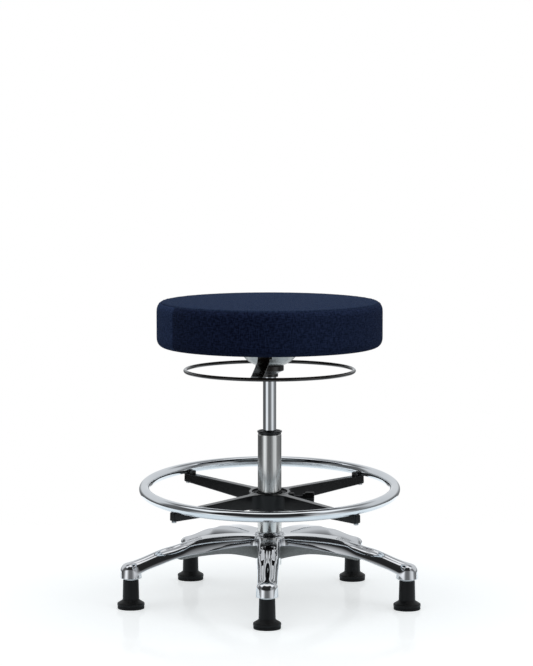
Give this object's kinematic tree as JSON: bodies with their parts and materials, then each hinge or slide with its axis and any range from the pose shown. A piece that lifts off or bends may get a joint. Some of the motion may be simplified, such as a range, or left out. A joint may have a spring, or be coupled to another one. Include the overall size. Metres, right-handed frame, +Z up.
{
  "type": "height-adjustable swivel stool",
  "caption": "Round upholstered swivel stool on a gas lift with a release ring, a clamped foot ring and a five-arm metal base on glides.",
  "frame": {"origin": "the middle of the footprint at floor level; the column axis stands 27.3 mm behind it and 1.6 mm to its right", "axes": "+Z up along the column, -Y to the front, +X to the right"},
  "size_m": [0.6324, 0.6074, 0.641],
  "materials": {
    "polished_aluminium": "mirror polished casting, as cast below",
    "chrome": "bright chrome plate",
    "steel": "plain zinc plated steel",
    "pressed_steel": "polished pressed steel",
    "black_paint": "semi-gloss black powder coat",
    "black_casting": "semi-gloss black powder coat on an aluminium casting",
    "black_plastic": "matte moulded nylon",
    "rubber": "matte rubber",
    "navy_fabric": "woven navy upholstery cloth",
    "black_fabric": "non-woven black dust cloth",
    "foam": "open-cell foam",
    "plywood": "raw birch plywood"
  },
  "bodies": {
    "base": {"star_base": "polished_aluminium", "column_tube": "chrome", "guide_bushing": "black_plastic", "bearing_lower_race": "steel"},
    "cage": {"bearing_cage": "steel"},
    "rod": {"piston_rod": "steel", "piston_head": "steel", "bearing_upper_race": "steel", "rubber_bumper": "rubber", "retaining_clip": "steel"},
    "seat": {"gas_cylinder": "chrome", "rod_guide_seal": "black_plastic", "taper_hub": "black_paint", "mechanism_bowl": "pressed_steel", "bar_pivot_pin": "steel", "seat_plate": "black_paint", "seat_cover": "navy_fabric", "foam_pad": "foam", "seat_board": "plywood", "dust_cover": "black_fabric", "plate_bolt_1": "steel", "plate_bolt_2": "steel", "plate_bolt_3": "steel", "plate_bolt_4": "steel", "tee_nut_1": "steel", "tee_nut_2": "steel", "tee_nut_3": "steel", "tee_nut_4": "steel"},
    "button": {"release_button": "steel"},
    "release_lever": {"release_ring": "black_paint", "release_bar": "black_paint"},
    "ring_sleeve": {"column_sleeve": "black_plastic"},
    "ring_unit": {"foot_ring": "chrome", "ring_spider": "black_casting", "ring_screw_1": "steel", "ring_screw_2": "steel", "ring_screw_3": "steel", "ring_screw_4": "steel"},
    "clamp_pad": {"pressure_pad": "steel"},
    "clamp_screw": {"clamp_knob": "black_plastic", "clamp_stud": "steel"},
    "glide_1": {"glide_body_1": "black_plastic", "glide_sole_1": "rubber", "glide_stem_1": "steel"},
    "glide_2": {"glide_body_2": "black_plastic", "glide_sole_2": "rubber", "glide_stem_2": "steel"},
    "glide_3": {"glide_body_3": "black_plastic", "glide_sole_3": "rubber", "glide_stem_3": "steel"},
    "glide_4": {"glide_body_4": "black_plastic", "glide_sole_4": "rubber", "glide_stem_4": "steel"},
    "glide_5": {"glide_body_5": "black_plastic", "glide_sole_5": "rubber", "glide_stem_5": "steel"}
  },
  "joints": [
    {"name": "seat_swivel", "type": "hinge", "parent": "base", "child": "rod", "pos_m": [0.00163, 0.02734, 0.085], "axis": [0, 0, 1], "continuous": true},
    {"name": "bearing_cage_turn", "type": "hinge", "parent": "base", "child": "cage", "pos_m": [0.00163, 0.02734, 0.085], "axis": [0, 0, 1], "continuous": true},
    {"name": "seat_height", "type": "slide", "parent": "rod", "child": "seat", "axis": [0, 0, 1], "range_m": [-0.095, 0.075]},
    {"name": "release_tilt", "type": "hinge", "parent": "seat", "child": "release_lever", "pos_m": [-0.00705, -0.0219, 0.5265], "axis": [-0.9848, 0.1736, 0], "range_deg": [0, 4], "stiffness_Nm_per_rad": 29, "springref_deg": -5.73},
    {"name": "button_press", "type": "slide", "parent": "seat", "child": "button", "axis": [0, 0, -1], "range_m": [0, 0.0035]},
    {"name": "foot_ring_height", "type": "slide", "parent": "base", "child": "ring_sleeve", "axis": [0, 0, 1], "range_m": [-0.035, 0.115]},
    {"name": "foot_ring_spin", "type": "hinge", "parent": "ring_sleeve", "child": "ring_unit", "pos_m": [0.00163, 0.02734, 0.2135], "axis": [0, -0.075, 0.9972], "continuous": true},
    {"name": "clamp_travel", "type": "slide", "parent": "ring_unit", "child": "clamp_pad", "axis": [0.9986, -0.0522, -0.0039], "range_m": [0, 0.0025]},
    {"name": "clamp_turn", "type": "hinge", "parent": "clamp_pad", "child": "clamp_screw", "pos_m": [0.00163, 0.0267, 0.22198], "axis": [0.9986, -0.0522, -0.0039], "range_deg": [0, 720]},
    {"name": "glide_spin_1", "type": "hinge", "parent": "base", "child": "glide_1", "pos_m": [-0.00365, -0.27521, 0.03], "axis": [0, 0, 1], "continuous": true},
    {"name": "glide_spin_2", "type": "hinge", "parent": "base", "child": "glide_2", "pos_m": [0.28775, -0.07118, 0.03], "axis": [0, 0, 1], "continuous": true},
    {"name": "glide_spin_3", "type": "hinge", "parent": "base", "child": "glide_3", "pos_m": [0.18374, 0.26901, 0.03], "axis": [0, 0, 1], "continuous": true},
    {"name": "glide_spin_4", "type": "hinge", "parent": "base", "child": "glide_4", "pos_m": [-0.17193, 0.27521, 0.03], "axis": [0, 0, 1], "continuous": true},
    {"name": "glide_spin_5", "type": "hinge", "parent": "base", "child": "glide_5", "pos_m": [-0.28775, -0.06113, 0.03], "axis": [0, 0, 1], "continuous": true}
  ],
  "couplings": [
    {"joint": "bearing_cage_turn", "follows": "seat_swivel", "ratio": 0.5},
    {"joint": "button_press", "follows": "release_tilt", "m_per_rad": 0.05},
    {"joint": "clamp_turn", "follows": "clamp_travel", "rad_per_m": 5026.5}
  ]
}
